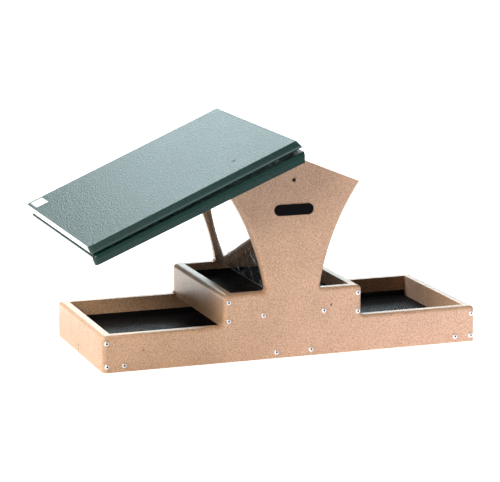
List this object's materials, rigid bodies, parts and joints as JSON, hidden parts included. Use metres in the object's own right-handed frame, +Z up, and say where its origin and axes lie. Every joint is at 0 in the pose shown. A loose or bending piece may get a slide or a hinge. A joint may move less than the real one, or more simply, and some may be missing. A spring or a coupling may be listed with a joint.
{
  "type": "hopper bird feeder",
  "caption": "Hopper bird feeder of thick plastic boards with flared gables, clear hopper panels, stepped trays with perforated floors and a hinged roof shown folded open.",
  "frame": {"origin": "middle of the mounting board's underside, in the plane that the feeder stands on", "axes": "+X along the trays towards the open side of the hopper, +Y to the rear gable, +Z up"},
  "size_m": [0.671, 0.384, 0.3592],
  "materials": {
    "tan_board": "fine speckled, lightly textured",
    "tan_cleat": "fine speckled, sawn",
    "green_board": "fine speckled, satin",
    "black_screen": "satin black powder coat",
    "clear_acrylic": "polished clear",
    "stainless": "bright"
  },
  "bodies": {
    "base": {"front_side_panel": "tan_board", "rear_side_panel": "tan_board", "left_end_board": "tan_board", "right_end_board": "tan_board", "left_step_board": "tan_board", "right_step_board": "tan_board", "left_end_cleat": "tan_cleat", "right_end_cleat": "tan_cleat", "mounting_board": "tan_cleat", "left_hopper_cleat": "tan_cleat", "right_hopper_cleat": "tan_cleat", "hopper_screen": "black_screen", "left_clear_panel": "clear_acrylic", "right_clear_panel": "clear_acrylic", "fixed_roof_panel": "green_board", "front_hinge_fixed_leaf": "stainless", "rear_hinge_fixed_leaf": "stainless", "front_hinge_pin": "stainless", "rear_hinge_pin": "stainless", "fixed_leaf_screws": "stainless", "front_side_screws": "stainless", "rear_side_screws": "stainless", "roof_screws": "stainless"},
    "hinged_roof": {"hinged_roof_panel": "green_board", "front_hinge_moving_leaf": "stainless", "rear_hinge_moving_leaf": "stainless", "moving_leaf_screws": "stainless"},
    "left_screen": {"left_tray_screen": "black_screen"},
    "right_screen": {"right_tray_screen": "black_screen"}
  },
  "joints": [
    {"name": "roof_hinge", "type": "hinge", "parent": "base", "child": "hinged_roof", "pos_m": [0, 0, 0.34629], "axis": [0, 1, 0], "range_deg": [0, 225.83]},
    {"name": "left_screen_lift", "type": "slide", "parent": "base", "child": "left_screen", "axis": [0, 0, 1], "range_m": [0, 0.02]},
    {"name": "right_screen_lift", "type": "slide", "parent": "base", "child": "right_screen", "axis": [0, 0, 1], "range_m": [0, 0.02]}
  ]
}
